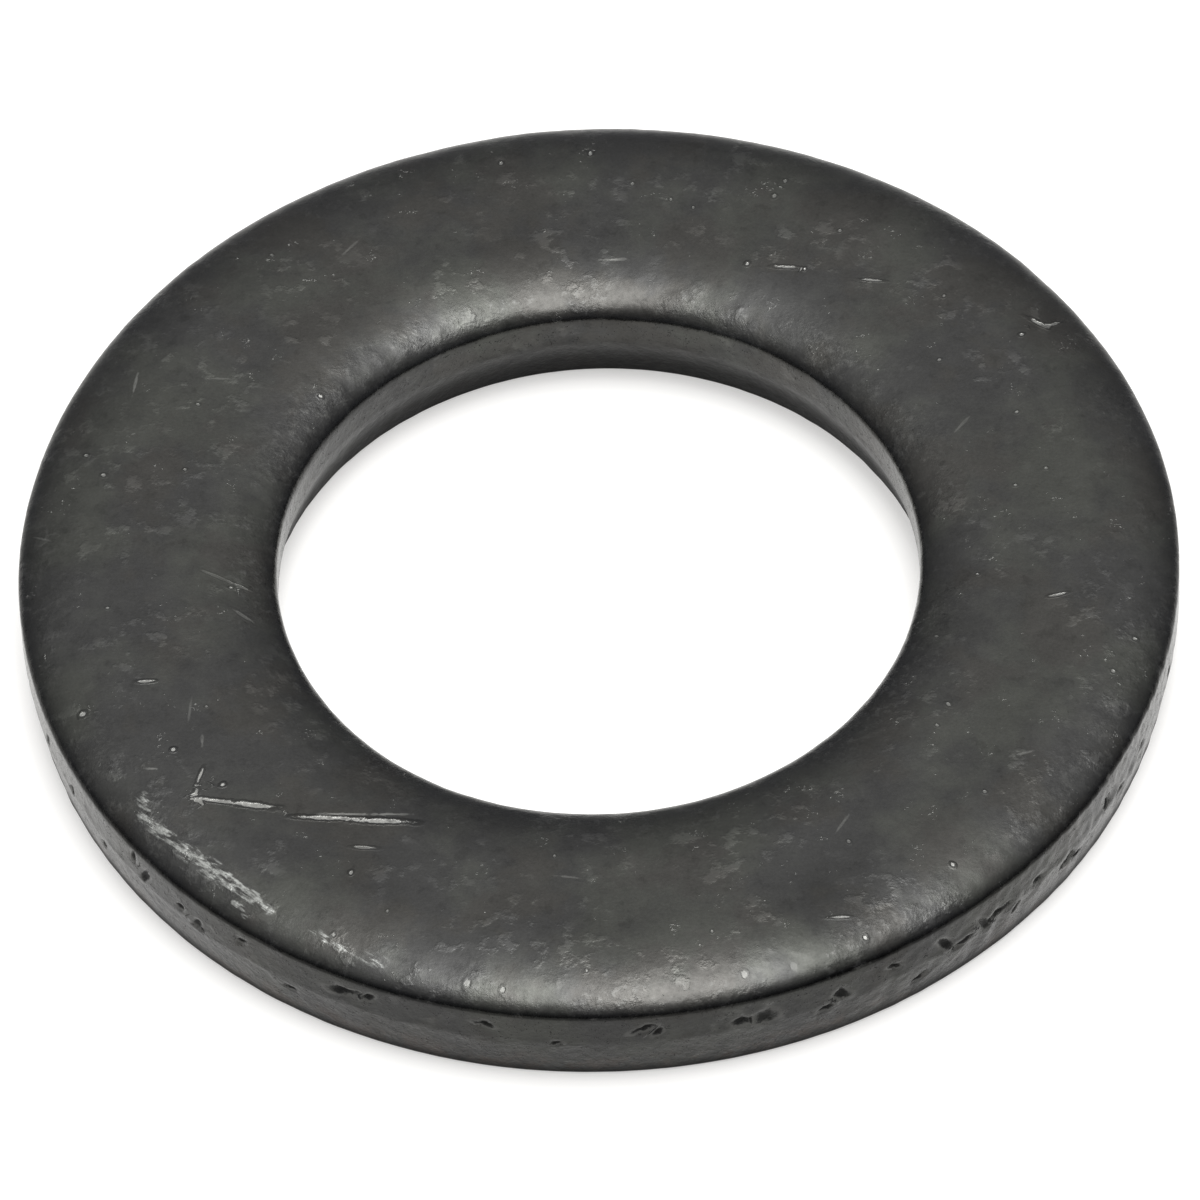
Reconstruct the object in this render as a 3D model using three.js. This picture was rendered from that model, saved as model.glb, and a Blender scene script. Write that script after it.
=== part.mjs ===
// Flat washer for an M12 bolt: one ring stamped from steel strip and blackened.
//
// Units are millimetres. The bore runs along +Z, the rolled edges are on the upper face, and
// the origin is the middle of the underside.
//
// A punch and die leave the same bands, from the upper face down, on both cut edges: a rolled
// edge where the strip was drawn down, an upright band where it was sheared, and a torn band
// that slopes away from the cut. The rim slopes inwards and the bore widens, towards the
// underside.

import * as THREE from "three";

// Overall sizes
const outerDiameter = 23.8;
const boreDiameter = 13.2;
const thickness = 2.45;

// The bands of each cut edge
const rim = { rollWidth: 1.95, rollHeight: 0.52, tornHeight: 1.2, tornDepth: 0.21 };
const bore = { rollWidth: 1.9, rollHeight: 0.56, tornHeight: 1.25, tornDepth: 0.34 };

const rollFullness = 0.56; // how far the curve of a roll reaches into its corner, from 0 to 1
const corner = 0.12; // the worn corner between each torn band and the underside
const leastLand = 0.6; // the flat band that is always left between the two rolled edges

// Fineness of the round surfaces
const turnSteps = 96; // around the ring
const curveSteps = 6; // along each roll and each worn corner

const blackOxide = new THREE.MeshStandardMaterial({
  color: 0x393937,
  roughness: 0.42,
  metalness: 0.9,
});

// The ring's section, clockwise from the underside's inner end, with x as the radius and y as
// the height.
function section() {
  const outer = outerDiameter / 2;
  const inner = boreDiameter / 2;
  const roomForRoll = (outer - inner - leastLand) / 2;
  const rimRoll = Math.min(rim.rollWidth, roomForRoll);
  const boreRoll = Math.min(bore.rollWidth, roomForRoll);
  const rimFoot = outer - rim.tornDepth;
  const boreFoot = inner + bore.tornDepth;
  const short = 1 - rollFullness;

  const outline = new THREE.Path();
  outline.moveTo(boreFoot + corner, 0);
  outline.quadraticCurveTo(boreFoot, 0, boreFoot, corner);
  outline.lineTo(inner, bore.tornHeight);
  outline.lineTo(inner, thickness - bore.rollHeight);
  outline.bezierCurveTo(
    inner, thickness - short * bore.rollHeight,
    inner + short * boreRoll, thickness,
    inner + boreRoll, thickness,
  );
  outline.lineTo(outer - rimRoll, thickness);
  outline.bezierCurveTo(
    outer - short * rimRoll, thickness,
    outer, thickness - short * rim.rollHeight,
    outer, thickness - rim.rollHeight,
  );
  outline.lineTo(outer, rim.tornHeight);
  outline.lineTo(rimFoot, corner);
  outline.quadraticCurveTo(rimFoot, 0, rimFoot - corner, 0);
  outline.closePath();
  return outline.getPoints(curveSteps);
}

// Turned about the bore's axis, which a lathe sets along +Y, and stood up along +Z.
function ring() {
  const geometry = new THREE.LatheGeometry(section().reverse(), turnSteps);
  geometry.rotateX(Math.PI / 2);
  const mesh = new THREE.Mesh(geometry, blackOxide);
  mesh.name = "washer";
  return mesh;
}

const flatWasher = new THREE.Group();
flatWasher.add(ring());

export default flatWasher;
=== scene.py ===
"""Flat washer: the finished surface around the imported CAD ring, in Blender 4.5.

The CAD ring is replaced by one fine mesh turned from the same section, with the wear of a
stamped and blackened washer: wavy faces, dented rolled edges, a ragged tear, gashes in the rim,
and scratches. Working lengths are millimetres and are turned into metres by MM. A turn is an
angle round the bore in degrees, from +X towards +Y, so the front of the washer is at 270.
"""

import math

import bpy
import numpy as np
from mathutils import Matrix, Vector


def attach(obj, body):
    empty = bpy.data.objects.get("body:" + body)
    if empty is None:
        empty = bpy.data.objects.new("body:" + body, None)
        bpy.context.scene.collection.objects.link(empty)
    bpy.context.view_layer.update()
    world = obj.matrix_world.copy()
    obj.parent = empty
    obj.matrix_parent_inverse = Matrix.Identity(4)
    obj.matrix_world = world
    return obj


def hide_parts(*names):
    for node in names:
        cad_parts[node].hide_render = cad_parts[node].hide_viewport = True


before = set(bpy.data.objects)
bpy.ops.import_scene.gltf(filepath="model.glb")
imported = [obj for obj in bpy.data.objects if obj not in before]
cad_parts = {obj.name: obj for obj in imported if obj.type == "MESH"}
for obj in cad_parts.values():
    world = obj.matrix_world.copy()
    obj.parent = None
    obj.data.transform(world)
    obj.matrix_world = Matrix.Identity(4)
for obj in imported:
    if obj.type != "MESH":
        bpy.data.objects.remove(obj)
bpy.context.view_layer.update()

MM = 0.001

CAD_NODE = "washer"

# The camera looks down at the washer's front, is rolled a little, and stands far off.
CAMERA_RISE = 50.2
CAMERA_ROLL = 2.4
CAMERA_DISTANCE = 285.6
CAMERA_LENS = 416.6
CAMERA_SENSOR = 36.0
CAMERA_CLIP = 10.0
AIM_HEIGHT = 0.79  # of the point on the bore's axis that the camera looks at


def add_camera():
    data = bpy.data.cameras.new("camera")
    data.lens = CAMERA_LENS
    data.sensor_width = CAMERA_SENSOR
    data.clip_start = CAMERA_CLIP * MM
    turned = Matrix.Rotation(math.radians(90 - CAMERA_RISE), 4, "X")
    rolled = Matrix.Rotation(math.radians(-CAMERA_ROLL), 4, "Z")
    aim = Vector((0, 0, AIM_HEIGHT * MM))
    back = turned @ Vector((0, 0, CAMERA_DISTANCE * MM))
    camera = bpy.data.objects.new("camera", data)
    camera.matrix_world = Matrix.Translation(aim + back) @ turned @ rolled
    bpy.context.scene.collection.objects.link(camera)
    bpy.context.scene.camera = camera


# ---------------------------------------------------------------- node trees


class Graph:
    """Adds nodes to a tree by nested calls. A value is a number, a tuple or another node's output."""

    def __init__(self, tree):
        self.tree = tree
        tree.nodes.clear()

    def node(self, kind, inputs, out=0, **settings):
        made = self.tree.nodes.new("ShaderNode" + kind)
        for name, value in settings.items():
            setattr(made, name, value)
        for name, value in inputs.items():
            if isinstance(value, bpy.types.NodeSocket):
                self.tree.links.new(value, made.inputs[name])
            else:
                made.inputs[name].default_value = value
        return made.outputs[out]

    def show(self, kind, shader):
        """Makes shader what a material or a world shows."""
        made = self.tree.nodes.new(f"ShaderNodeOutput{kind}")
        self.tree.links.new(shader, made.inputs["Surface"])

    def math(self, operation, *values):
        return self.node("Math", dict(enumerate(values)), operation=operation)

    def add(self, a, b):
        return self.math("ADD", a, b)

    def times(self, a, b):
        return self.math("MULTIPLY", a, b)

    def most(self, a, b):
        return self.math("MAXIMUM", a, b)

    def step(self, value, low, high):
        """0 below low, 1 above high, and smooth in between. It falls instead where low is above high."""
        ends = {"Value": value, "From Min": low, "From Max": high}
        return self.node("MapRange", ends, interpolation_type="SMOOTHSTEP")

    def span(self, value, low, high):
        """Stretches 0 to 1 into low to high."""
        return self.node("MapRange", {"Value": value, "To Min": low, "To Max": high})

    def noise(self, where, size, detail=2.0, roughness=0.5):
        """Cloudy values round 0.5, whose blotches are about size across."""
        inputs = {"Vector": where, "Scale": 1 / size, "Detail": detail, "Roughness": roughness}
        return self.node("TexNoise", inputs)

    def spots(self, where, spacing):
        """The distance, in spacings, to the nearest of many points strewn about spacing apart."""
        return self.node("TexVoronoi", {"Vector": where, "Scale": 1 / spacing})

    def attribute(self, name, out="Fac"):
        return self.node("Attribute", {}, out=out, attribute_name=name)

    def colour(self, share, a, b):
        """Colour a where share is 0, and b where it is 1."""
        inputs = {"Factor": share, 6: a, 7: b}
        return self.node("Mix", inputs, out=2, data_type="RGBA")

    def shift(self, where, by):
        return self.node("VectorMath", {0: where, 1: by})

def grey(value):
    return (value, value, value, 1)


# ---------------------------------------------------------------- light and floor

FLOOR_RADIUS = 4000.0
FLOOR_SIDES = 96
FLOOR_GAP = 0.01  # below the underside, so that the two never share a plane
FLOOR_SHADE = (0.60, 0.595, 0.585, 1)
FLOOR_GLOW = 0.75  # the floor is lit a little from below, which keeps shadows light

KEY_STRENGTH = 2.3
KEY_WIDTH = 32.0  # angle across the soft light overhead
KEY_LEAN = 4.5  # of the light from straight overhead towards +X

# The room is lightest towards a ceiling panel that leans away from the washer's front. The stops
# are the cosine of the angle from that panel, and the light there.
PANEL_LEAN = 12.0
SKY_BACKDROP = 1.0
SKY_STOPS = (
    (0.0, (0.09, 0.092, 0.105, 1)),
    (0.25, (0.26, 0.27, 0.31, 1)),
    (0.6, (0.50, 0.50, 0.51, 1)),
    (0.8, (1.05, 1.05, 1.05, 1)),
    (0.885, (1.38, 1.38, 1.36, 1)),
    (1.0, (2.1, 2.1, 2.07, 1)),
)


def add_floor():
    circle = {"vertices": FLOOR_SIDES, "radius": FLOOR_RADIUS * MM, "fill_type": "NGON"}
    bpy.ops.mesh.primitive_circle_add(**circle)
    floor = bpy.context.object
    floor.location.z = -FLOOR_GAP * MM
    floor.name = "floor"
    material = bpy.data.materials.new("floor")
    material.use_nodes = True
    g = Graph(material.node_tree)
    inputs = {
        "Base Color": FLOOR_SHADE,
        "Roughness": 0.9,
        "Specular IOR Level": 0.0,
        "Emission Color": FLOOR_SHADE,
        "Emission Strength": FLOOR_GLOW,
    }
    g.show("Material", g.node("BsdfPrincipled", inputs))
    floor.data.materials.append(material)


def add_key_light():
    data = bpy.data.lights.new("key", "SUN")
    data.energy = KEY_STRENGTH
    data.angle = math.radians(KEY_WIDTH)
    light = bpy.data.objects.new("key", data)
    light.rotation_euler = (0, math.radians(KEY_LEAN), 0)
    bpy.context.scene.collection.objects.link(light)


def add_sky():
    """A dim room that gets lighter towards its ceiling panel, in front of a pale backdrop."""
    world = bpy.data.worlds.new("sky")
    bpy.context.scene.world = world
    world.use_nodes = True
    g = Graph(world.node_tree)
    direction = g.node("TexCoord", {}, out="Generated")
    lean = math.radians(PANEL_LEAN)
    panel = (0, math.sin(lean), math.cos(lean))
    facing = g.node("VectorMath", {0: direction, 1: panel}, out="Value", operation="DOT_PRODUCT")
    ramp = g.node("ValToRGB", {"Fac": facing}).node
    for _ in SKY_STOPS[2:]:
        ramp.color_ramp.elements.new(0.5)
    for element, (place, colour) in zip(ramp.color_ramp.elements, SKY_STOPS):
        element.position = place
        element.color = colour
    seen = g.node("LightPath", {}, out="Is Camera Ray")
    shade = g.colour(seen, ramp.outputs[0], grey(SKY_BACKDROP))
    g.show("World", g.node("Background", {"Color": shade}))


# ---------------------------------------------------------------- the ring's section


def cad_section():
    """The section's own sizes, in millimetres, read from the CAD ring."""
    points = np.array([v.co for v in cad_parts[CAD_NODE].data.vertices]) / MM
    radius = np.hypot(points[:, 0], points[:, 1])
    height = points[:, 2]
    near = 0.01
    on_top = height > height.max() - near
    on_foot = height < near
    on_rim = radius > radius.max() - near
    on_bore = radius < radius.min() + near
    return {
        "outer": radius.max(),
        "inner": radius.min(),
        "top": height.max(),
        "land": (radius[on_top].min(), radius[on_top].max()),
        "foot": (radius[on_foot].min(), radius[on_foot].max()),
        "rim_band": (height[on_rim].min(), height[on_rim].max()),
        "bore_band": (height[on_bore].min(), height[on_bore].max()),
    }


CORNER = 0.12
ROLL_FULLNESS = 0.56  # how far the curve of a rolled edge reaches into its corner
CORNER_FULLNESS = 2 / 3
AROUND = 960  # points round the ring

# Points along each part of the section
UNDERSIDE_STEPS = 10
CORNER_STEPS = 4
RIM_STEPS = {"torn": 15, "sheared": 9, "roll": 20}
LAND_STEPS = 12
BORE_STEPS = {"roll": 17, "sheared": 5, "torn": 8}


def line(start, end, steps):
    """Points from start up to, but not including, end."""
    share = np.arange(steps)[:, None] / steps
    return np.array(start) + share * (np.array(end) - np.array(start))


def bend(start, corner, end, fullness, steps):
    """A Bezier curve from start up to end, tangent to the lines that meet at corner."""
    start, corner, end = np.array(start), np.array(corner), np.array(end)
    leave = start + fullness * (corner - start)
    arrive = end + fullness * (corner - end)
    t = np.arange(steps)[:, None] / steps
    u = 1 - t
    return u ** 3 * start + 3 * u * u * t * leave + 3 * u * t * t * arrive + t ** 3 * end


def section_rows(cad):
    """The section as rows of (radius, height), anticlockwise from the foot of the bore."""
    outer, inner, top = cad["outer"], cad["inner"], cad["top"]
    foot_in, foot_out = cad["foot"]
    land_in, land_out = cad["land"]
    rim_low, rim_high = cad["rim_band"]
    bore_low, bore_high = cad["bore_band"]
    rim_foot = (foot_out + CORNER, CORNER)
    bore_foot = (foot_in - CORNER, CORNER)
    return np.concatenate([
        line((foot_in, 0), (foot_out, 0), UNDERSIDE_STEPS),
        bend((foot_out, 0), (foot_out + CORNER, 0), rim_foot, CORNER_FULLNESS, CORNER_STEPS),
        line(rim_foot, (outer, rim_low), RIM_STEPS["torn"]),
        line((outer, rim_low), (outer, rim_high), RIM_STEPS["sheared"]),
        bend((outer, rim_high), (outer, top), (land_out, top), ROLL_FULLNESS, RIM_STEPS["roll"]),
        line((land_out, top), (land_in, top), LAND_STEPS),
        bend((land_in, top), (inner, top), (inner, bore_high), ROLL_FULLNESS, BORE_STEPS["roll"]),
        line((inner, bore_high), (inner, bore_low), BORE_STEPS["sheared"]),
        line((inner, bore_low), bore_foot, BORE_STEPS["torn"]),
        bend(bore_foot, (bore_foot[0], 0), (foot_in, 0), CORNER_FULLNESS, CORNER_STEPS),
    ])


def outward(rows):
    """The section's outward direction at each row."""
    along = np.roll(rows, -1, axis=0) - np.roll(rows, 1, axis=0)
    out = np.stack([along[:, 1], -along[:, 0]], axis=1)
    return out / np.linalg.norm(out, axis=1, keepdims=True)


# ---------------------------------------------------------------- wear in the shape


def ripple(points, height, wavelength, seed, waves=40):
    """A smooth random field over the points, with that height and wavelength."""
    rng = np.random.default_rng(seed)
    ways = rng.normal(size=(waves, 3))
    ways /= np.linalg.norm(ways, axis=1, keepdims=True)
    ways *= 2 * math.pi / (wavelength * rng.uniform(0.75, 1.35, size=(waves, 1)))
    starts = rng.uniform(0, 2 * math.pi, size=waves)
    return height * np.cos(points @ ways.T + starts).sum(axis=-1) * math.sqrt(2 / waves)


def smooth_step(value, low, high):
    """0 below low, 1 above high, and smooth in between."""
    share = np.clip((value - low) / (high - low), 0, 1)
    return share * share * (3 - 2 * share)


def smooth_fall(value, low, high):
    """1 below low, 0 above high, and smooth in between."""
    return smooth_step(-value, -high, -low)


# Gashes in the rim where the steel tore: turn, height, length, width, and lean from level.
GASHES = (
    (197.4, 1.32, 0.34, 0.20, 80), (203.9, 1.22, 0.36, 0.18, 85), (216.0, 1.75, 0.36, 0.13, 80),
    (217.6, 1.38, 0.44, 0.20, 62), (223.0, 1.45, 0.22, 0.18, 20), (225.2, 1.26, 0.40, 0.22, 55),
    (225.6, 1.18, 0.34, 0.12, -40), (242.6, 1.58, 0.80, 0.20, 12), (245.2, 1.62, 0.36, 0.16, 30),
    (257.0, 1.62, 0.46, 0.12, -12), (272.4, 1.62, 0.55, 0.15, 20), (273.8, 1.48, 0.30, 0.14, 45),
    (281.9, 1.42, 0.38, 0.20, 0), (284.5, 1.40, 0.16, 0.34, 8), (292.3, 1.36, 0.42, 0.24, -30),
    (290.6, 1.08, 0.34, 0.16, 10), (304.0, 1.36, 0.62, 0.20, -58), (306.4, 1.12, 0.56, 0.13, 6),
    (308.9, 1.22, 0.56, 0.22, -62), (311.0, 1.30, 0.60, 0.18, 12), (313.0, 1.02, 0.36, 0.16, 40),
    (316.2, 1.30, 0.30, 0.20, -30), (320.8, 0.94, 0.50, 0.24, 25), (322.6, 0.78, 0.36, 0.16, -20),
    (327.8, 1.28, 0.30, 0.18, 60), (331.0, 1.00, 0.40, 0.18, -40), (336.0, 1.20, 0.34, 0.16, 20),
    (341.0, 1.00, 0.40, 0.20, 40), (346.0, 1.30, 0.30, 0.14, 0), (189.0, 1.00, 0.36, 0.18, 60),
    (231.0, 1.66, 0.26, 0.12, 20), (236.5, 0.90, 0.34, 0.10, -10), (264.0, 1.20, 0.26, 0.10, 15),
    (298.0, 1.55, 0.34, 0.12, -25), (301.0, 0.70, 0.40, 0.14, 15), (210.0, 0.80, 0.30, 0.14, 70),
)


# Scratches on the upper face: start and end as (radius, turn), width, and how bright.
SCRATCHES = (
    ((9.80, 213.5), (10.06, 214.6), 0.09, 0.75),
    ((10.20, 215.6), (10.40, 216.5), 0.11, 0.6),
    ((10.36, 216.3), (9.78, 220.3), 0.11, 0.7),
    ((9.84, 219.8), (9.36, 223.8), 0.15, 0.8),
    ((9.23, 226.9), (8.50, 233.9), 0.12, 0.8),
    ((8.66, 232.6), (8.03, 240.6), 0.14, 0.9),
    ((9.17, 235.8), (8.98, 238.2), 0.09, 0.4),
    ((9.65, 198.3), (9.91, 197.8), 0.09, 0.7),
    ((8.14, 181.0), (7.60, 183.2), 0.09, 0.12),
    ((7.50, 183.6), (7.18, 185.0), 0.08, 0.2),
    ((7.58, 189.0), (7.22, 192.0), 0.10, 0.16),
    ((11.64, 174.4), (11.25, 175.4), 0.07, 0.15),
    ((10.82, 32.1), (10.98, 30.3), 0.11, 0.7),
    ((11.02, 30.4), (11.28, 30.3), 0.09, 0.6),
    ((9.36, 349.0), (9.66, 349.8), 0.08, 0.5),
    ((9.05, 50.5), (9.26, 48.4), 0.07, 0.5),
    ((8.42, 62.2), (8.60, 59.2), 0.10, 0.5),
    ((10.78, 293.8), (10.92, 295.6), 0.07, 0.35),
)

# Fainter scratches, some of them beside the ones above.
FAINT_SCRATCHES = (
    ((8.96, 228.2), (8.30, 234.4), 0.08, 0.45),
    ((8.34, 234.0), (7.86, 239.4), 0.09, 0.4),
    ((9.66, 221.0), (9.26, 224.2), 0.07, 0.5),
    ((9.30, 208.6), (9.50, 210.6), 0.08, 0.18),
    ((10.70, 209.6), (10.52, 210.4), 0.09, 0.25),
    ((9.10, 203.0), (9.42, 206.2), 0.07, 0.15),
    ((8.60, 262.0), (8.66, 266.2), 0.08, 0.15),
    ((9.00, 300.0), (8.70, 304.0), 0.08, 0.15),
    ((10.10, 324.0), (10.46, 326.4), 0.08, 0.15),
    ((7.90, 20.0), (8.40, 22.0), 0.07, 0.15),
    ((9.90, 118.0), (9.66, 122.4), 0.08, 0.15),
    ((8.90, 146.0), (9.40, 147.6), 0.07, 0.15),
    ((10.80, 150.0), (10.56, 154.0), 0.08, 0.3),
    ((7.90, 84.0), (7.86, 88.0), 0.10, 0.3),
)

# Nicks on the upper face: radius, turn, width, and how bright.
NICKS = (
    (11.20, 199.4, 0.14, 0.9), (10.00, 209.0, 0.11, 1), (9.70, 216.8, 0.11, 1),
    (9.75, 237.6, 0.10, 0.7), (7.20, 141.0, 0.11, 0.8), (8.80, 163.0, 0.07, 0.48),
    (10.84, 89.0, 0.11, 0.9), (10.80, 99.0, 0.10, 0.7), (10.90, 163.4, 0.09, 0.48),
    (10.40, 166.0, 0.10, 0.48), (7.55, 184.5, 0.08, 0.4), (10.40, 30.6, 0.10, 0.7),
    (11.20, 345.0, 0.10, 0.4), (11.00, 340.0, 0.10, 0.4), (8.30, 327.0, 0.11, 0.32),
    (8.40, 323.0, 0.08, 0.32), (7.30, 339.0, 0.08, 0.32), (7.80, 352.0, 0.07, 0.4),
    (11.00, 308.5, 0.10, 0.9), (10.30, 281.0, 0.08, 0.32), (8.25, 66.0, 0.11, 0.8),
    (8.62, 58.2, 0.08, 0.7), (9.90, 57.5, 0.08, 0.4), (10.20, 67.0, 0.11, 0.4),
    (10.70, 66.7, 0.10, 0.4), (9.80, 41.0, 0.07, 0.4), (9.30, 20.0, 0.08, 0.32),
    (8.60, 33.0, 0.08, 0.32), (9.40, 10.0, 0.08, 0.32), (9.95, 84.0, 0.09, 0.32),
    (9.60, 79.0, 0.08, 0.32), (9.45, 76.0, 0.07, 0.32), (11.48, 288.0, 0.18, 0.08),
    (11.42, 255.0, 0.17, 0.32), (11.45, 258.6, 0.12, 0.32), (11.40, 283.0, 0.14, 0.24),
    (10.60, 128.0, 0.08, 0.32), (9.20, 152.0, 0.08, 0.32), (10.10, 186.0, 0.07, 0.32),
    (8.90, 205.0, 0.06, 0.32), (8.10, 262.0, 0.07, 0.32), (9.30, 301.0, 0.08, 0.32),
    (10.20, 318.0, 0.08, 0.32), (8.70, 8.0, 0.08, 0.32), (10.95, 267.0, 0.07, 0.4),
    (11.45, 296.0, 0.11, 0.48), (11.20, 240.0, 0.10, 0.4), (10.30, 244.0, 0.07, 0.24),
)

# Where the rolled edge of the rim is worn bright: first and last (radius, turn), width, brightness.
WORN = (
    ((11.14, 212.4), (11.36, 215.4), 0.20, 0.8),
    ((11.42, 214.2), (11.28, 217.6), 0.16, 0.9),
    ((11.36, 216.2), (11.30, 222.0), 0.20, 1.0),
    ((11.27, 221.6), (11.27, 227.4), 0.26, 1.0),
    ((11.27, 227.0), (11.30, 232.4), 0.20, 0.9),
    ((11.56, 229.0), (11.62, 231.0), 0.14, 0.8),
    ((11.36, 238.0), (11.44, 246.0), 0.22, 0.35),
)

# Broad stains, where the oxide is painted darker or lighter: radius, turn, size, and how much lighter.
# Those at turns 294 and 322 are painted shade that dims the highlight on the rim's front roll, those
# at radius 7.4 are painted highlight on the bore's far roll, and the others are broad patches of tone.
STAINS_AND_HIGHLIGHT_TONE = (
    (11.0, 294.0, 2.2, -0.40), (10.0, 268.0, 2.0, -0.08), (9.4, 234.0, 2.4, -0.11),
    (9.6, 52.0, 2.2, 0.10), (7.4, 116.0, 1.5, 0.20), (7.4, 60.0, 1.5, 0.16),
    (9.8, 150.0, 2.0, 0.05), (9.2, 100.0, 2.0, -0.05), (10.6, 20.0, 1.8, -0.05), (10.9, 322.0, 2.2, -0.14),
)

MARK_DEPTH = 0.007
GASH_DEPTH = 0.075
RIM_FOOT_SHADE = (0.0, 0.5)  # the heights up to which the painted shade at the foot of the rim is full, and ends
BORE_FOOT_SHADE = (0.35, 1.6)
ROLL_REACH = (0.3, 1.6)  # from the edge: where the wear of a rolled edge is full, and ends
RIM_ROLL_WEAR = 0.75  # of the wear on the bore's roll
BURNISH = 0.35  # how much lighter the punch left the bore's sheared band
SHOULDER_PAINTED_SHADE = 0.6  # painted shade on the steep part of the rim's roll, for the dark reflection along it

# Ripples as height, wavelength and seed. TEAR_LINE is the tear's upper edge, MARK_EDGE frays the
# marks, and the others lift the surface.
TEAR_LINE = ((0.09, 4.2, 11), (0.07, 1.3, 13), (0.04, 0.5, 12))
FACE_WAVE = (0.004, 4.0, 1)
FACE_RIPPLE = (0.0008, 0.9, 2)
ROLL_RIPPLE = (0.0012, 0.9, 2)
ROLL_DENTS = (0.0010, 0.4, 3)
WALL_WAVE = (0.004, 4.0, 4)
TEAR = (0.003, 0.6, 5)
ROUGH_TEAR = (0.009, 0.6, 5)
ROUGH_CHIPS = (0.004, 0.28, 8)
DRAG_LINES = (0.001, 0.45, 6)
MARK_EDGE = (0.25, 0.3, 7)  # its height is in half widths of the mark
TEAR_STRETCH = (1, 1, 0.5)  # of the points, which draws the ripples out upwards
DRAG_STRETCH = (1, 1, 0.3)
ROUGH_SIDE = (284, 300, 344, 356)  # turns where the rough tear starts, is full, fades and ends
ROUGH_HEIGHTS = (0.1, 0.9)  # where the rough tear starts and is full
TEAR_EDGE = (-0.05, 0.15)  # depths below the tear's upper edge where it starts and is full

# Shares of wall, from 0 on a level surface to 1 on an upright one
STEEP = (0.5, 0.9)  # where the walls start and are full
SHOULDER = (0.35, 0.7, 0.93, 1.0)  # where the shoulder starts, is full, fades and ends

MARK_FADE = (0.1, 0.2)  # distances outside a mark where its field starts to fade, and ends
MARK_SIDES = (0.3, 1.3)  # half widths from its middle where a mark's floor and its sides end


def spot(radius, turn):
    return radius * np.array((math.cos(math.radians(turn)), math.sin(math.radians(turn))))


def upper_marks(lines, dots=()):
    """Marks on the upper face, from above: start, end, width, and how bright."""
    marks = [(spot(*start), spot(*end), width, bright) for start, end, width, bright in lines]
    for radius, turn, width, bright in dots:
        marks.append((spot(radius, turn), spot(radius + width / 4, turn), width, bright))
    return marks


def rim_marks(outer):
    """The gashes as marks on the rim rolled out flat: start, end, width, and how dark."""
    marks = []
    for turn, level, length, width, lean in GASHES:
        way = np.array((math.cos(math.radians(lean)), math.sin(math.radians(lean))))
        middle = np.array((outer * math.radians(turn), level))
        reach = way * abs(length - width) / 2
        marks.append((middle - reach, middle + reach, width, 1.0))
    return marks


def nearest_mark(flat, where, marks):
    """Where each point is in its nearest mark: along it and across it, in half lengths and half
    widths, and how strong the mark is, which falls to 0 round it."""
    nearest = np.full(where.shape, np.inf)
    field = np.zeros(where.shape + (3,))
    for start, end, width, strength in marks:
        length = np.linalg.norm(end - start)
        way = (end - start) / length
        out = flat - (start + end) / 2
        along = out @ way
        across = out @ np.array((-way[1], way[0]))
        gap = np.hypot(np.maximum(np.abs(along) - length / 2, 0), across) - width / 2
        near = (gap < nearest) & where
        nearest = np.where(near, gap, nearest)
        fade = strength * smooth_fall(gap, *MARK_FADE)
        local = np.stack([2 * along / (length + width), 2 * across / width, fade], -1)
        field = np.where(near[..., None], local, field)
    return field


def worn_field(flat, upper):
    """1 along the stretches of rolled edge that are worn bright, falling to 0 round them."""
    field = np.zeros(upper.shape)
    for start, end, width, bright in WORN:
        start, end = spot(*start), spot(*end)
        way = end - start
        share = np.clip((flat - start) @ way / (way @ way), 0, 1)
        gap = np.linalg.norm(flat - start - share[..., None] * way, axis=-1)
        field = np.maximum(field, bright * smooth_fall(gap, 0.0, width))
    return field * upper


def stain_and_highlight_field(flat, upper):
    """How much lighter the upper face is painted: broad stains, and painted shade and highlight on the
    rolled edges.
    """
    field = np.zeros(upper.shape)
    for radius, turn, size, lighter in STAINS_AND_HIGHLIGHT_TONE:
        gap = np.linalg.norm(flat - spot(radius, turn), axis=-1)
        field += lighter * smooth_fall(gap, 0.0, size)
    return field * upper


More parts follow.
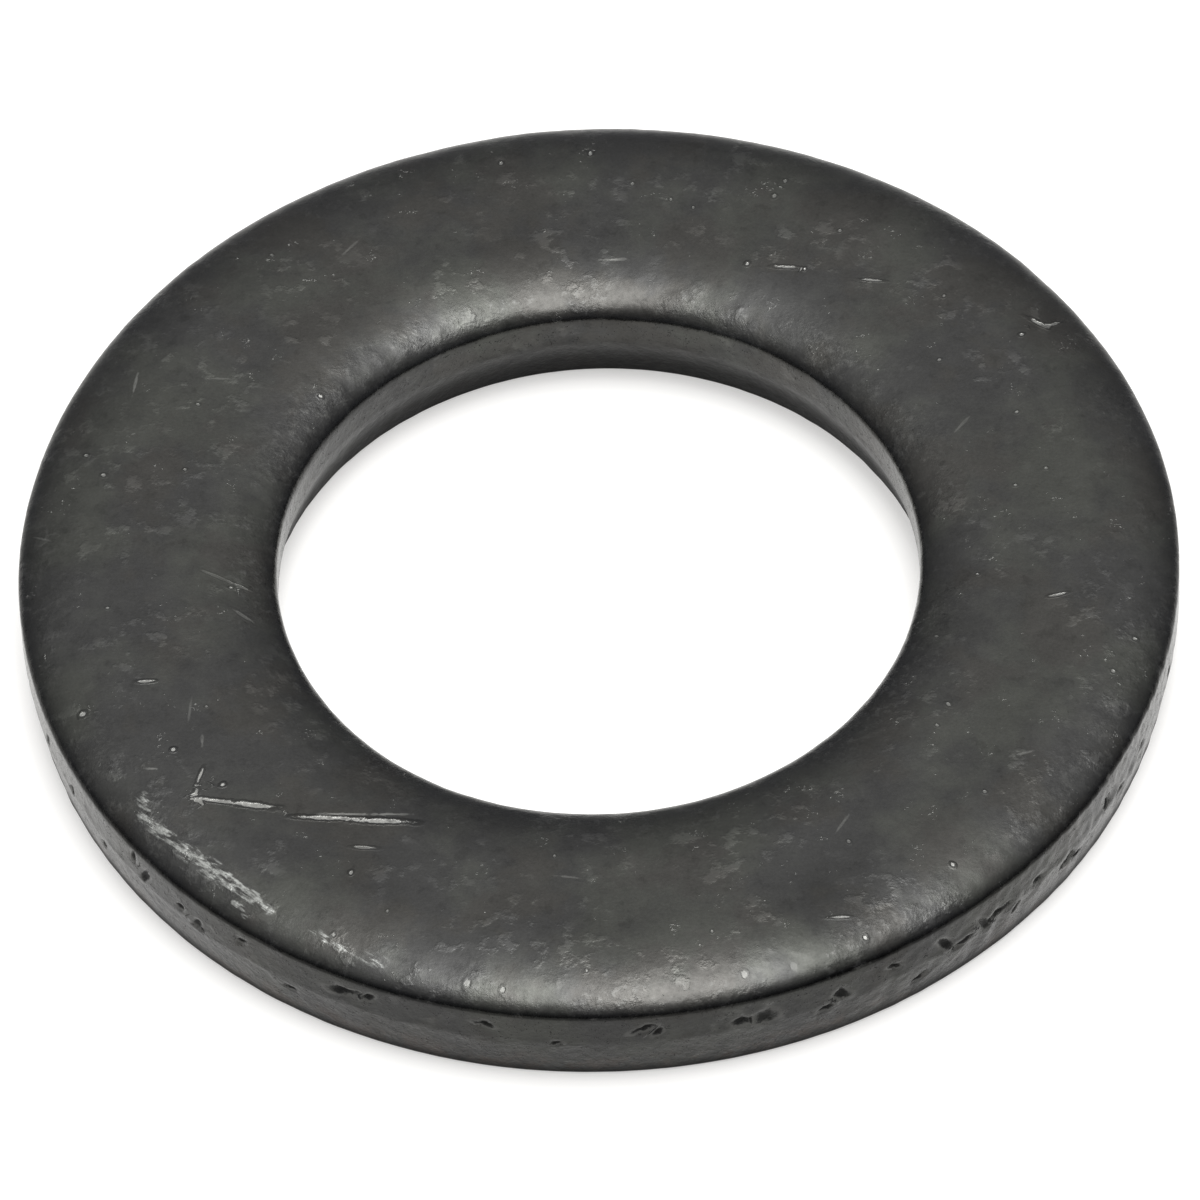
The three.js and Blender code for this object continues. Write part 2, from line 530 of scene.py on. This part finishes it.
def worn_ring(cad):
    """The ring's points in millimetres, turns by rows, and the fields that its material reads."""
    rows = section_rows(cad)
    out = outward(rows)
    turn = np.arange(AROUND)[:, None] * 360 / AROUND + np.zeros(len(rows))
    angle = np.radians(turn)
    radius, height = rows[:, 0] + 0 * turn, rows[:, 1] + 0 * turn
    ring = np.stack([radius * np.cos(angle), radius * np.sin(angle), height], axis=-1)
    away = np.stack([out[:, 0] * np.cos(angle), out[:, 0] * np.sin(angle), out[:, 1] + 0 * turn], -1)

    middle = (cad["outer"] + cad["inner"]) / 2
    wall = np.abs(out[:, 0]) ** 2 + 0 * turn
    upper = smooth_step(out[:, 1], 0.0, 0.5) + 0 * turn
    steep = smooth_step(wall, *STEEP)
    rim_side = radius > middle
    shear = np.where(rim_side, cad["rim_band"][0], cad["bore_band"][0])
    ragged = shear + sum(ripple(ring, *wave) for wave in TEAR_LINE)
    torn = smooth_step(ragged - height, *TEAR_EDGE) * steep
    edge = np.minimum(radius - cad["inner"], cad["outer"] - radius)
    roll = upper * smooth_fall(edge, *ROLL_REACH) * np.where(rim_side, RIM_ROLL_WEAR, 1.0)
    # painted shade: the walls darken towards their foot, for the shadowed floor that they reflect
    foot_shade = (smooth_fall(height, *ends) for ends in (RIM_FOOT_SHADE, BORE_FOOT_SHADE))
    foot = np.where(rim_side, *foot_shade) * steep

    top_marks = nearest_mark(ring[..., :2], upper > 0.2, upper_marks(SCRATCHES, NICKS))
    faint = nearest_mark(ring[..., :2], upper > 0.2, upper_marks(FAINT_SCRATCHES))
    rolled_out = np.stack([cad["outer"] * angle, height], -1)
    gashed = rim_side & (wall > 0.4) & (upper <= 0.2)
    gashes = nearest_mark(rolled_out, gashed, rim_marks(cad["outer"]))
    mark = np.where(gashed[..., None], gashes, top_marks)
    worn = worn_field(ring[..., :2], upper)
    burnished = wall * (1 - torn) * ~rim_side * smooth_fall(upper, 0.0, 0.5)
    shoulder = smooth_step(wall, *SHOULDER[:2]) * smooth_fall(wall, *SHOULDER[2:]) * (1 - torn)
    lighter = stain_and_highlight_field(ring[..., :2], upper) + BURNISH * burnished
    # painted shade along the rim's shoulder
    lighter -= SHOULDER_PAINTED_SHADE * shoulder * rim_side

    lift = upper * (ripple(ring, *FACE_WAVE) + ripple(ring, *FACE_RIPPLE))
    lift += roll * (upper * ripple(ring, *ROLL_RIPPLE) + ripple(ring, *ROLL_DENTS))
    lift += wall * (ripple(ring, *WALL_WAVE) + ripple(ring * DRAG_STRETCH, *DRAG_LINES))
    rough = rim_side * smooth_step(turn, *ROUGH_SIDE[:2]) * smooth_fall(turn, *ROUGH_SIDE[2:])
    rough *= smooth_step(height, *ROUGH_HEIGHTS)
    drawn = ring * TEAR_STRETCH
    lift += torn * (ripple(drawn, *TEAR) + rough * ripple(drawn, *ROUGH_TEAR))
    lift += wall * rough * ripple(ring, *ROUGH_CHIPS)
    off = np.hypot(mark[..., 0], mark[..., 1]) + ripple(ring, *MARK_EDGE)
    inside = smooth_fall(off, *MARK_SIDES) * mark[..., 2]
    lift -= np.where(gashed, GASH_DEPTH, MARK_DEPTH) * inside

    ring = ring + away * lift[..., None]
    ring[..., 2] = np.clip(ring[..., 2], 0, cad["top"])
    fields = {"roll": roll, "torn": torn, "wall": wall, "foot": foot, "worn": worn}
    fields.update(lighter=lighter, mark=mark, faint=faint)
    return ring, fields


def ring_mesh(ring, fields):
    """One closed mesh over the grid of points, which joins up both ways round."""
    around, across = ring.shape[:2]
    number = np.arange(around * across).reshape(around, across)
    ahead = np.roll(number, -1, axis=0)
    quads = np.stack([number, ahead, np.roll(ahead, -1, 1), np.roll(number, -1, 1)], -1)
    mesh = bpy.data.meshes.new("blackened_ring")
    mesh.from_pydata((ring.reshape(-1, 3) * MM).tolist(), [], quads.reshape(-1, 4).tolist())
    mesh.shade_smooth()
    for name, values in fields.items():
        kind, part = ("FLOAT", "value") if values.ndim == 2 else ("FLOAT_VECTOR", "vector")
        layer = mesh.attributes.new(name, kind, "POINT")
        layer.data.foreach_set(part, values.astype(np.float32).ravel())
    mesh.update()
    return mesh


# ---------------------------------------------------------------- material

OXIDE = (0.040, 0.040, 0.0395, 1)
OXIDE_BROWN = (0.0425, 0.0415, 0.039, 1)
OXIDE_OLIVE = (0.046, 0.047, 0.043, 1)
# polished steel, also used as the painted highlight on the gash lips
POLISHED_AND_LIT_LIP = (0.075, 0.075, 0.072, 1)
WORN_STEEL = (0.26, 0.265, 0.255, 1)
# near-black painted shade, for gashes, pits, hollows and the foot of the walls
PAINTED_SHADE_BLACK = (0.010, 0.010, 0.010, 1)
RUST = (0.072, 0.052, 0.042, 1)
BARE_STEEL = (0.42, 0.42, 0.40, 1)
METAL_SHARE = 0.95
ROUGHNESS = (0.25, 0.41)
WALL_ROUGHER = -0.10
FOOT_ROUGHER = 0.4  # rougher at the foot of the walls, and also in gashes and pits
RUST_HEIGHTS = (0.9, 0.2)  # where the rust starts and is full
STREAK_WAY = math.radians(42)  # turns the worn streaks' own direction onto X
STREAK_STRETCH = 0.28  # of the noise along a streak
STREAK = (0.11, 4, 0.65)  # blotch size, detail and roughness

# The other noises: blotch size, detail, roughness, and a shift that keeps them from lining up
NOISES = {
    "olive": (2.8, 4, 0.6, 0),
    "brown": (2.0, 4, 0.6, 40),
    "scuffs": (1.6, 2, 0.5, 70),
    "worn_plates": (0.9, 2, 0.5, 80),
    "mottle": (0.7, 5, 0.65, 0),
    "smudge": (0.42, 4, 0.6, 20),
    "tear": (0.3, 4, 0.65, 0),
    "fine": (0.17, 4, 0.65, 0),
    "plate": (0.16, 4, 0.7, 60),
    "grain": (0.06, 3, 0.6, 0),
}
STRAY = 1 / 9  # the size of the noise that bends the outlines of spots
PIT_SPACING = 0.19
FLECK_SPACING = 0.62


def black_oxide():
    """Blackened steel: mottled and grainy, bright where it is worn, with painted shade in its gashes, pits
    and hollows and at the foot of its walls, and painted highlights on the gash lips.
    """
    material = bpy.data.materials.new("black_oxide_steel")
    material.use_nodes = True
    g = Graph(material.node_tree)
    place = g.node("TexCoord", {}, out="Object")
    where = g.node("VectorMath", {0: place, "Scale": 1 / MM}, operation="SCALE")

    def split(name, axis):
        return g.node("SeparateXYZ", {"Vector": g.attribute(name, "Vector")}, out=axis)

    def off_mark(name):
        """How far out from the middle of the mark a point is. The mark's edge is at 1."""
        along, across = split(name, "X"), split(name, "Y")
        return g.math("SQRT", g.add(g.times(along, along), g.times(across, across)))

    names = ("roll", "torn", "wall", "foot", "worn", "lighter")
    roll, torn, wall, foot, worn, lighter = (g.attribute(name) for name in names)
    upper = g.add(1.0, g.times(wall, -1.0))
    noise = {}
    for name, (size, detail, roughness, by) in NOISES.items():
        noise[name] = g.noise(g.shift(where, (by, 0, 0)), size, detail, roughness)
    mottle, smudge, plate = noise["mottle"], noise["smudge"], noise["plate"]
    fine, grain = noise["fine"], noise["grain"]
    bent = g.node("TexNoise", {"Vector": where, "Scale": 1 / STRAY}, out="Color")
    stray = g.shift(where, bent)

    # oxide, with its stains (some of them painted highlight and shade), grain and scuffs, the rust of the
    # walls, and painted shade in their pits and at their foot
    shade = g.colour(g.step(noise["olive"], 0.42, 0.62), OXIDE, OXIDE_OLIVE)
    shade = g.colour(g.step(noise["brown"], 0.48, 0.62), shade, OXIDE_BROWN)
    uneven = g.add(g.span(mottle, 0.70, 1.30), g.span(grain, -0.22, 0.22))
    scuffed = g.times(g.step(smudge, 0.52, 0.66), g.step(noise["scuffs"], 0.46, 0.60))
    uneven = g.add(uneven, g.times(scuffed, 0.45))
    uneven = g.add(uneven, g.times(g.step(smudge, 0.42, 0.32), -0.14))
    uneven = g.times(g.times(uneven, g.span(wall, 1.0, 0.86)), g.add(lighter, 1.0))
    shade = g.node("VectorMath", {0: shade, "Scale": uneven}, operation="SCALE")
    low = g.step(g.node("SeparateXYZ", {"Vector": where}, out="Z"), *RUST_HEIGHTS)
    rusty = g.times(g.times(g.step(mottle, 0.46, 0.60), wall), g.times(low, 0.5))
    shade = g.colour(rusty, shade, RUST)
    # painted shade: near-black specks on the walls for the shade in small pits, which the mesh does not
    # carry
    pits = g.times(g.step(g.spots(stray, PIT_SPACING), 0.40, 0.12), g.step(fine, 0.46, 0.58))
    shade = g.colour(g.times(g.times(pits, wall), 0.8), shade, PAINTED_SHADE_BLACK)
    # painted shade at the foot of the walls
    shade = g.colour(g.times(foot, 0.95), shade, PAINTED_SHADE_BLACK)

    # the rolled edges: small polished plates with painted shade between them, and the worn stretches with
    # painted shade in their crevices
    patchy = g.times(roll, g.step(noise["worn_plates"], 0.38, 0.62))
    shade = g.colour(g.times(g.step(plate, 0.52, 0.64), g.times(patchy, 0.65)), shade, POLISHED_AND_LIT_LIP)
    # painted shade between the polished plates
    shade = g.colour(g.times(g.step(plate, 0.40, 0.33), g.times(patchy, 0.5)), shade, PAINTED_SHADE_BLACK)
    turned = g.node("VectorRotate", {"Vector": where, "Angle": STREAK_WAY}, rotation_type="Z_AXIS")
    drawn = g.node("VectorMath", {0: turned, 1: (STREAK_STRETCH, 1, 1)}, operation="MULTIPLY")
    streak = g.noise(drawn, *STREAK)
    bright = g.step(g.add(worn, g.span(streak, -2.6, 2.6)), 0.30, 1.25)
    bright = g.times(bright, g.step(worn, 0.02, 0.4))
    crevice = g.times(g.step(streak, 0.46, 0.36), g.step(worn, 0.1, 0.6))
    shade = g.colour(g.times(g.times(worn, mottle), 0.7), shade, POLISHED_AND_LIT_LIP)
    # painted shade in the crevices between the worn streaks
    shade = g.colour(g.times(crevice, 0.35), shade, PAINTED_SHADE_BLACK)
    shade = g.colour(g.times(bright, g.span(fine, 0.1, 1.5)), shade, WORN_STEEL)

    # flecks
    fleck = g.times(g.step(g.spots(stray, FLECK_SPACING), 0.16, 0.05), g.step(mottle, 0.50, 0.58))
    fleck = g.times(fleck, upper)
    shade = g.colour(g.times(fleck, 0.25), shade, BARE_STEEL)

    # scratches and nicks on the upper face, with a ring of painted shade round each, and gashes in the
    # rim, painted near-black as shade, with painted highlights on their lips
    off = g.add(off_mark("mark"), g.span(fine, -0.8, 0.8))
    strength = split("mark", "Z")
    groove = g.times(g.step(off, 1.0, 0.55), strength)
    lip = g.times(g.step(off, 1.9, 1.1), strength)
    gash = g.times(g.times(g.step(off, 1.25, 0.4), strength), wall)
    # painted highlight on the lip of each gash
    gash_lip_highlight = g.times(g.times(g.add(lip, g.times(gash, -1.0)), wall), 0.55)
    faint = g.step(g.add(off_mark("faint"), g.span(fine, -1.1, 1.1)), 1.0, 0.4)
    faint = g.times(faint, split("faint", "Z"))
    # painted shade: a dark ring round each scratch and nick on the upper face
    shade = g.colour(g.times(g.times(lip, upper), 0.4), shade, PAINTED_SHADE_BLACK)
    clean = g.times(g.most(groove, faint), g.span(fine, -0.2, 1.5))
    shade = g.colour(g.times(clean, upper), shade, BARE_STEEL)
    shade = g.colour(g.most(gash_lip_highlight, 0.0), shade, POLISHED_AND_LIT_LIP)
    # painted shade: the gashes painted near-black
    shade = g.colour(g.times(gash, 0.8), shade, PAINTED_SHADE_BLACK)

    # gloss, fine relief in millimetres, and the shader
    rough = g.add(g.span(fine, *ROUGHNESS), g.times(wall, WALL_ROUGHER))
    rough = g.add(rough, g.times(g.most(foot, g.most(gash, g.times(pits, wall))), FOOT_ROUGHER))
    relief = (
        (grain, 0.0012),
        (g.times(plate, patchy), 0.012),
        (g.times(wall, fine), 0.013),
        (g.times(torn, noise["tear"]), 0.02),
        (g.times(worn, streak), 0.02),
        (g.add(smudge, scuffed), 0.004),
        (groove, -0.014),
        (lip, 0.007),
        (fleck, 0.006),
    )
    height = 0.0
    for shape, high in relief:
        height = g.add(height, g.times(shape, high))
    bump = g.node("Bump", {"Height": height, "Distance": MM, "Strength": 1.0})
    inputs = {
        "Base Color": shade,
        "Metallic": METAL_SHARE,
        "Roughness": rough,
        "Normal": bump,
    }
    g.show("Material", g.node("BsdfPrincipled", inputs))
    return material


def add_washer():
    ring, fields = worn_ring(cad_section())
    washer = bpy.data.objects.new("blackened_ring", ring_mesh(ring, fields))
    bpy.context.scene.collection.objects.link(washer)
    washer.data.materials.append(black_oxide())
    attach(washer, "root")
    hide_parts(CAD_NODE)


add_camera()
add_washer()
add_floor()
add_key_light()
add_sky()
bpy.context.scene.view_settings.view_transform = "Standard"
